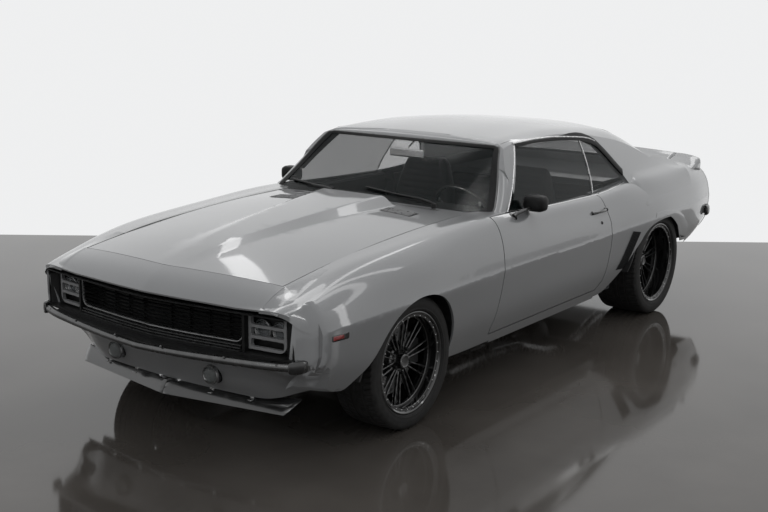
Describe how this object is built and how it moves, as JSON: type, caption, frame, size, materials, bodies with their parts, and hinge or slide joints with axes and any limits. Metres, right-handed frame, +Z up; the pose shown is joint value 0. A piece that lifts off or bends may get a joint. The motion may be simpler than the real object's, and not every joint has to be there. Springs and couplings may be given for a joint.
{
  "type": "two-door hardtop muscle car",
  "caption": "Lowered late-1960s two-door hardtop coupe with opening hood, trunk lid and doors, steered front wheels and free-rolling deep-dish wheels.",
  "frame": {"origin": "centre of the footprint at floor level, midway between the outermost points of nose and tail", "axes": "+X to the car's left, +Y to the rear, +Z up; the nose points along -Y"},
  "size_m": [2.024, 4.72, 1.2763],
  "materials": {
    "body_paint": "gloss",
    "black_trim": "gloss",
    "satin_black": "satin",
    "dark_grey_trim": "satin",
    "glass_tint": "clear",
    "lens_clear": "clear",
    "lens_red": "gloss",
    "tyre_rubber": "matt",
    "wheel_black": "gloss",
    "chassis_black": "satin",
    "underbody_paint": "satin",
    "engine_iron": "satin",
    "steel_bare": "brushed",
    "leather_black": "satin",
    "dash_plastic": "matt",
    "chrome_bright": "polished"
  },
  "bodies": {
    "root": {"fender_left": "body_paint", "fender_right": "body_paint", "quarter_left": "body_paint", "quarter_right": "body_paint", "roof": "body_paint", "header_panel": "body_paint", "front_valance": "body_paint", "tail_panel": "body_paint", "sills": "body_paint", "cowl": "body_paint", "rear_deck": "underbody_paint", "firewall": "underbody_paint", "floor_pan": "underbody_paint", "inner_fenders": "underbody_paint", "rear_tubs": "underbody_paint", "radiator": "underbody_paint", "fixed_glass": "glass_tint", "grille": "satin_black", "nose_frame": "satin_black", "wipers": "satin_black", "front_bumper": "satin_black", "rear_bumper": "satin_black", "lamp_covers": "dark_grey_trim", "head_lamps": "lens_clear", "tail_lamps": "lens_red", "front_splitter": "black_trim", "subframe": "chassis_black", "rear_axle": "chassis_black", "fuel_tank": "chassis_black", "engine": "engine_iron", "exhaust": "steel_bare", "steering_column": "steel_bare", "dash": "dash_plastic", "seat_left": "leather_black", "seat_right": "leather_black", "rear_seat": "leather_black", "inside_mirror": "chrome_bright"},
    "hood": {"hood": "body_paint"},
    "trunk_lid": {"trunk_lid": "body_paint", "rear_spoiler": "body_paint"},
    "door_left": {"door_left": "body_paint", "door_glass_left": "glass_tint", "mirror_left": "black_trim"},
    "knuckle_left": {"knuckle_left": "chassis_black"},
    "wheel_front_left": {"tyre_front_left": "tyre_rubber", "wheel_front_left": "wheel_black"},
    "wheel_rear_left": {"tyre_rear_left": "tyre_rubber", "wheel_rear_left": "wheel_black"},
    "door_right": {"door_right": "body_paint", "door_glass_right": "glass_tint", "mirror_right": "black_trim"},
    "knuckle_right": {"knuckle_right": "chassis_black"},
    "wheel_front_right": {"tyre_front_right": "tyre_rubber", "wheel_front_right": "wheel_black"},
    "wheel_rear_right": {"tyre_rear_right": "tyre_rubber", "wheel_rear_right": "wheel_black"},
    "steering_wheel": {"steering_wheel": "satin_black"}
  },
  "joints": [
    {"name": "hood_hinge", "type": "hinge", "parent": "root", "child": "hood", "pos_m": [0, -0.65, 0.935], "axis": [-1, 0, 0], "range_deg": [0, 50]},
    {"name": "trunk_hinge", "type": "hinge", "parent": "root", "child": "trunk_lid", "pos_m": [0, 1.9025, 0.932], "axis": [1, 0, 0], "range_deg": [0, 75]},
    {"name": "door_left_hinge", "type": "hinge", "parent": "root", "child": "door_left", "pos_m": [0.916, -0.6425, 0.6], "axis": [0, 0, -1], "range_deg": [0, 65]},
    {"name": "door_right_hinge", "type": "hinge", "parent": "root", "child": "door_right", "pos_m": [-0.916, -0.6425, 0.6], "axis": [0, 0, 1], "range_deg": [0, 65]},
    {"name": "steer_left", "type": "hinge", "parent": "root", "child": "knuckle_left", "pos_m": [0.69, -1.432, 0.325], "axis": [0, 0, 1], "range_deg": [-30, 30]},
    {"name": "steer_right", "type": "hinge", "parent": "root", "child": "knuckle_right", "pos_m": [-0.69, -1.432, 0.325], "axis": [0, 0, 1], "range_deg": [-30, 30]},
    {"name": "steering_wheel_turn", "type": "hinge", "parent": "root", "child": "steering_wheel", "pos_m": [0.355, -0.193, 0.814], "axis": [0, 0.9, 0.436], "range_deg": [-480, 480]},
    {"name": "spin_front_left", "type": "hinge", "parent": "knuckle_left", "child": "wheel_front_left", "pos_m": [0.7675, -1.432, 0.325], "axis": [1, 0, 0], "continuous": true},
    {"name": "spin_front_right", "type": "hinge", "parent": "knuckle_right", "child": "wheel_front_right", "pos_m": [-0.7675, -1.432, 0.325], "axis": [1, 0, 0], "continuous": true},
    {"name": "spin_rear_left", "type": "hinge", "parent": "root", "child": "wheel_rear_left", "pos_m": [0.7555, 1.311, 0.335], "axis": [1, 0, 0], "continuous": true},
    {"name": "spin_rear_right", "type": "hinge", "parent": "root", "child": "wheel_rear_right", "pos_m": [-0.7555, 1.311, 0.335], "axis": [1, 0, 0], "continuous": true}
  ],
  "couplings": [
    {"joint": "steer_right", "follows": "steer_left", "ratio": 1},
    {"joint": "steering_wheel_turn", "follows": "steer_left", "ratio": 15}
  ]
}
